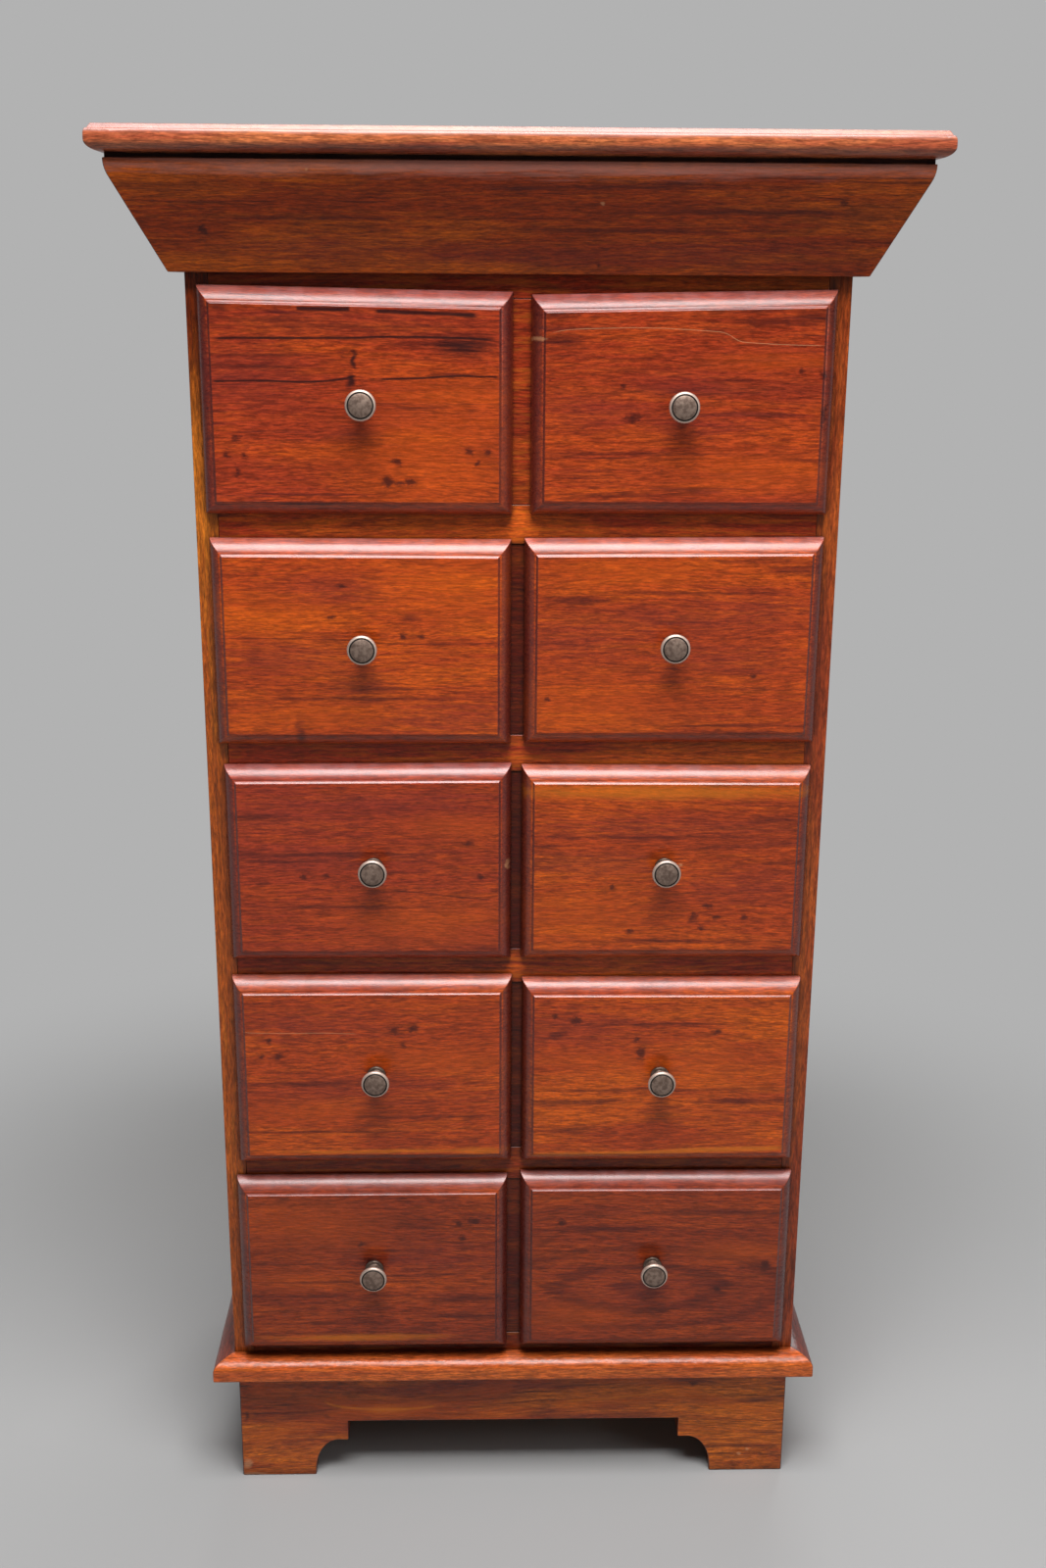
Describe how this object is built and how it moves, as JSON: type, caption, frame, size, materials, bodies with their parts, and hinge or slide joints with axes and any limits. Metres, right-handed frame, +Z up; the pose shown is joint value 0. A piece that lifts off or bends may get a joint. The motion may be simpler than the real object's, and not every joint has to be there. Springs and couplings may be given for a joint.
{
  "type": "spice drawer cabinet",
  "caption": "Tall narrow hardwood spice cabinet with paired columns of lipped sliding drawers, small brass knobs, a flared cornice, moulded top and bracket-foot plinth.",
  "frame": {"origin": "on the floor, under the middle of the top board's outline", "axes": "+Z up, drawer fronts face -Y, +X to the right of someone facing the drawers"},
  "size_m": [0.53, 0.33, 1],
  "materials": {
    "red_mahogany": "French-polished reddish mahogany-type hardwood, satin gloss, horizontal grain",
    "side_wood": "polished golden-brown hardwood, upright grain",
    "inner_wood": "plain planed secondary hardwood, unpolished",
    "back_ply": "thin stained plywood, matt",
    "aged_brass": "antiqued turned brass, grey-olive with a paler worn rim"
  },
  "bodies": {
    "cabinet": {"side_panel_left": "side_wood", "side_panel_right": "side_wood", "centre_partition": "inner_wood", "face_frame": "red_mahogany", "bottom_board": "inner_wood", "sub_top": "inner_wood", "drawer_runners": "inner_wood", "top_board": "red_mahogany", "cornice_front": "red_mahogany", "cornice_left": "red_mahogany", "cornice_right": "red_mahogany", "base_moulding_front": "red_mahogany", "base_moulding_left": "red_mahogany", "base_moulding_right": "red_mahogany", "plinth_front": "red_mahogany", "plinth_left": "red_mahogany", "plinth_right": "red_mahogany", "plinth_back": "inner_wood", "glue_blocks": "inner_wood", "back_panel": "back_ply"},
    "drawer_r1_left": {"drawer_r1_left_front": "red_mahogany", "drawer_r1_left_box": "inner_wood", "drawer_r1_left_bottom": "back_ply", "drawer_r1_left_knob": "aged_brass"},
    "drawer_r1_right": {"drawer_r1_right_front": "red_mahogany", "drawer_r1_right_box": "inner_wood", "drawer_r1_right_bottom": "back_ply", "drawer_r1_right_knob": "aged_brass"},
    "drawer_r2_left": {"drawer_r2_left_front": "red_mahogany", "drawer_r2_left_box": "inner_wood", "drawer_r2_left_bottom": "back_ply", "drawer_r2_left_knob": "aged_brass"},
    "drawer_r2_right": {"drawer_r2_right_front": "red_mahogany", "drawer_r2_right_box": "inner_wood", "drawer_r2_right_bottom": "back_ply", "drawer_r2_right_knob": "aged_brass"},
    "drawer_r3_left": {"drawer_r3_left_front": "red_mahogany", "drawer_r3_left_box": "inner_wood", "drawer_r3_left_bottom": "back_ply", "drawer_r3_left_knob": "aged_brass"},
    "drawer_r3_right": {"drawer_r3_right_front": "red_mahogany", "drawer_r3_right_box": "inner_wood", "drawer_r3_right_bottom": "back_ply", "drawer_r3_right_knob": "aged_brass"},
    "drawer_r4_left": {"drawer_r4_left_front": "red_mahogany", "drawer_r4_left_box": "inner_wood", "drawer_r4_left_bottom": "back_ply", "drawer_r4_left_knob": "aged_brass"},
    "drawer_r4_right": {"drawer_r4_right_front": "red_mahogany", "drawer_r4_right_box": "inner_wood", "drawer_r4_right_bottom": "back_ply", "drawer_r4_right_knob": "aged_brass"},
    "drawer_r5_left": {"drawer_r5_left_front": "red_mahogany", "drawer_r5_left_box": "inner_wood", "drawer_r5_left_bottom": "back_ply", "drawer_r5_left_knob": "aged_brass"},
    "drawer_r5_right": {"drawer_r5_right_front": "red_mahogany", "drawer_r5_right_box": "inner_wood", "drawer_r5_right_bottom": "back_ply", "drawer_r5_right_knob": "aged_brass"}
  },
  "joints": [
    {"name": "drawer_r1_left_slide", "type": "slide", "parent": "cabinet", "child": "drawer_r1_left", "axis": [0, -1, 0], "range_m": [0, 0.2]},
    {"name": "drawer_r1_right_slide", "type": "slide", "parent": "cabinet", "child": "drawer_r1_right", "axis": [0, -1, 0], "range_m": [0, 0.2]},
    {"name": "drawer_r2_left_slide", "type": "slide", "parent": "cabinet", "child": "drawer_r2_left", "axis": [0, -1, 0], "range_m": [0, 0.2]},
    {"name": "drawer_r2_right_slide", "type": "slide", "parent": "cabinet", "child": "drawer_r2_right", "axis": [0, -1, 0], "range_m": [0, 0.2]},
    {"name": "drawer_r3_left_slide", "type": "slide", "parent": "cabinet", "child": "drawer_r3_left", "axis": [0, -1, 0], "range_m": [0, 0.2]},
    {"name": "drawer_r3_right_slide", "type": "slide", "parent": "cabinet", "child": "drawer_r3_right", "axis": [0, -1, 0], "range_m": [0, 0.2]},
    {"name": "drawer_r4_left_slide", "type": "slide", "parent": "cabinet", "child": "drawer_r4_left", "axis": [0, -1, 0], "range_m": [0, 0.2]},
    {"name": "drawer_r4_right_slide", "type": "slide", "parent": "cabinet", "child": "drawer_r4_right", "axis": [0, -1, 0], "range_m": [0, 0.2]},
    {"name": "drawer_r5_left_slide", "type": "slide", "parent": "cabinet", "child": "drawer_r5_left", "axis": [0, -1, 0], "range_m": [0, 0.2]},
    {"name": "drawer_r5_right_slide", "type": "slide", "parent": "cabinet", "child": "drawer_r5_right", "axis": [0, -1, 0], "range_m": [0, 0.2]}
  ]
}
